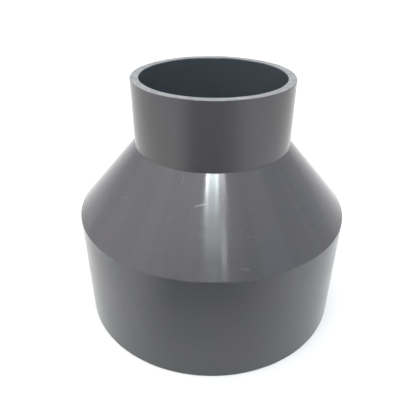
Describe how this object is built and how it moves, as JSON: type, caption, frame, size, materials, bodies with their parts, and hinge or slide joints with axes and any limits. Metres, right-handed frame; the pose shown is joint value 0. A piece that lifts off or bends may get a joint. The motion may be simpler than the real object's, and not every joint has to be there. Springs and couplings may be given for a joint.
{
  "type": "concentric pipe reducer",
  "caption": "Grey PVC-U pipe reducer: a large plain spigot, a straight cone and a small plain spigot on one axis, butt-fused, to join pipes of different sizes.",
  "frame": {"origin": "centre of the large end's sawn face, which is the face that the fitting stands on", "axes": "+Z along the common axis of both ends, from the large end to the small end; the fitting is round about Z, so X and Y are alike and right-handed with it"},
  "size_m": [0.25, 0.25, 0.227],
  "materials": {
    "large_pipe_pvc": "satin",
    "cone_pvc": "satin",
    "small_pipe_pvc": "satin",
    "weld_bead_pvc": "matte"
  },
  "bodies": {
    "root": {"large_end_spigot": "large_pipe_pvc", "conical_body": "cone_pvc", "small_end_spigot": "small_pipe_pvc", "large_end_weld_bead": "weld_bead_pvc", "small_end_weld_bead": "weld_bead_pvc"}
  },
  "joints": []
}
